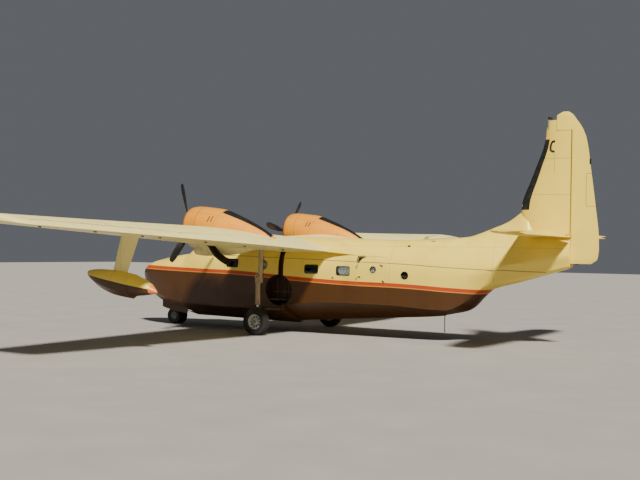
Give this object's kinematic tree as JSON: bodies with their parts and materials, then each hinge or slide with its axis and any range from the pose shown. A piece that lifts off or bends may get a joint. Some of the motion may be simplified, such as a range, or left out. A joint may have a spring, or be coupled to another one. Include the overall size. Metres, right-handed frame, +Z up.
{
  "type": "twin-engined amphibian flying boat",
  "caption": "High-winged flying boat with radial engines, wing floats and folding wheels, standing on its landing gear.",
  "frame": {"origin": "on the ground at the middle of the aircraft's length and span, at the bottom of the wheels", "axes": "+X forward to the nose, +Y to port, +Z up"},
  "size_m": [19.16, 29.46, 7.87],
  "materials": {
    "hull_paint": "semi-gloss two-tone paint, cream over brown with an orange line",
    "cream_paint": "semi-gloss paint",
    "orange_paint": "semi-gloss paint",
    "float_paint": "semi-gloss paint, brown under a cream deck, with an orange stern",
    "engine_metal": "cast and finned, oily",
    "propeller_black": "matt black paint",
    "exhaust_metal": "heat-stained and sooty",
    "gear_paint": "satin paint",
    "gear_brown": "satin paint",
    "wheel_rim": "satin light grey paint",
    "tyre_rubber": "matt, dusty",
    "glazing": "clear",
    "seat_leather": "worn",
    "panel_black": "matt crackle"
  },
  "bodies": {
    "airframe": {"hull_bow": "hull_paint", "hull_flight_deck": "hull_paint", "flight_deck_glazing": "glazing", "hull_center": "hull_paint", "hull_aft": "hull_paint", "tail_cone": "hull_paint", "fin": "cream_paint", "tailplane_port": "cream_paint", "tailplane_starboard": "cream_paint", "wing_center": "cream_paint", "wing_outer_port": "cream_paint", "wing_outer_starboard": "cream_paint", "nacelle_port": "orange_paint", "nacelle_starboard": "orange_paint", "cowl_port": "orange_paint", "cowl_starboard": "orange_paint", "engine_port": "engine_metal", "engine_starboard": "engine_metal", "exhaust_port": "exhaust_metal", "exhaust_starboard": "exhaust_metal", "float_port": "float_paint", "float_starboard": "float_paint", "float_pylon_port": "cream_paint", "float_pylon_starboard": "cream_paint", "main_leg_port": "gear_paint", "main_leg_starboard": "gear_paint", "main_arm_port": "gear_brown", "main_arm_starboard": "gear_brown", "nose_leg": "gear_paint", "nose_door_port": "hull_paint", "nose_door_starboard": "hull_paint", "pilot_seat_port": "seat_leather", "pilot_seat_starboard": "seat_leather", "instrument_panel": "panel_black", "keel_rod": "propeller_black"},
    "propeller_port": {"propeller_port": "propeller_black"},
    "propeller_starboard": {"propeller_starboard": "propeller_black"},
    "main_wheel_port": {"main_wheel_port": "wheel_rim", "main_tyre_port": "tyre_rubber"},
    "main_wheel_starboard": {"main_wheel_starboard": "wheel_rim", "main_tyre_starboard": "tyre_rubber"},
    "nose_steering": {"nose_fork": "gear_paint"},
    "nose_wheels": {"nose_wheels": "wheel_rim", "nose_tyre_port": "tyre_rubber", "nose_tyre_starboard": "tyre_rubber"},
    "rudder": {"rudder": "cream_paint"},
    "elevators": {"elevator_port": "cream_paint", "elevator_starboard": "cream_paint"},
    "aileron_port": {"aileron_port": "cream_paint"},
    "aileron_starboard": {"aileron_starboard": "cream_paint"},
    "flap_port": {"flap_port": "cream_paint"},
    "flap_starboard": {"flap_starboard": "cream_paint"},
    "entry_door": {"entry_door": "hull_paint"}
  },
  "joints": [
    {"name": "propeller_port_spin", "type": "hinge", "parent": "airframe", "child": "propeller_port", "pos_m": [4.65, 3.37, 3.9], "axis": [1, 0, 0], "continuous": true},
    {"name": "propeller_starboard_spin", "type": "hinge", "parent": "airframe", "child": "propeller_starboard", "pos_m": [4.65, -3.37, 3.9], "axis": [1, 0, 0], "continuous": true},
    {"name": "main_wheel_port_spin", "type": "hinge", "parent": "airframe", "child": "main_wheel_port", "pos_m": [2.09, 2.69, 0.5], "axis": [0, 1, 0], "continuous": true},
    {"name": "main_wheel_starboard_spin", "type": "hinge", "parent": "airframe", "child": "main_wheel_starboard", "pos_m": [2.09, -2.69, 0.5], "axis": [0, 1, 0], "continuous": true},
    {"name": "nose_steer", "type": "hinge", "parent": "airframe", "child": "nose_steering", "pos_m": [7.89, 0, 0.86], "axis": [0, 0, 1], "range_deg": [-40, 40]},
    {"name": "nose_wheels_spin", "type": "hinge", "parent": "nose_steering", "child": "nose_wheels", "pos_m": [7.89, 0, 0.33], "axis": [0, 1, 0], "continuous": true},
    {"name": "rudder_turn", "type": "hinge", "parent": "airframe", "child": "rudder", "pos_m": [-8.68, 0, 5], "axis": [0, 0, 1], "range_deg": [-25, 25]},
    {"name": "elevators_tilt", "type": "hinge", "parent": "airframe", "child": "elevators", "pos_m": [-8.08, 0, 3.78], "axis": [0, 1, 0], "range_deg": [-11, 39]},
    {"name": "aileron_port_tilt", "type": "hinge", "parent": "airframe", "child": "aileron_port", "pos_m": [0.9, 8.96, 3.53636], "axis": [0.099, 0.9941, 0.0439], "range_deg": [-20, 20]},
    {"name": "aileron_starboard_tilt", "type": "hinge", "parent": "airframe", "child": "aileron_starboard", "pos_m": [0.9, -8.96, 3.53636], "axis": [-0.099, 0.9941, -0.0439], "range_deg": [-20, 20]},
    {"name": "flap_port_drop", "type": "hinge", "parent": "airframe", "child": "flap_port", "pos_m": [0.6, 1.42, 3.20154], "axis": [-0.0215, -0.9989, -0.0416], "range_deg": [0, 40]},
    {"name": "flap_starboard_drop", "type": "hinge", "parent": "airframe", "child": "flap_starboard", "pos_m": [0.6, -1.42, 3.20154], "axis": [0.0215, -0.9989, 0.0416], "range_deg": [0, 40]},
    {"name": "entry_door_swing", "type": "hinge", "parent": "airframe", "child": "entry_door", "pos_m": [-1.274, 1.282, 2.5], "axis": [0, 0, -1], "range_deg": [0, 100]}
  ],
  "couplings": [
    {"joint": "aileron_starboard_tilt", "follows": "aileron_port_tilt", "ratio": -1},
    {"joint": "flap_starboard_drop", "follows": "flap_port_drop", "ratio": 1}
  ]
}
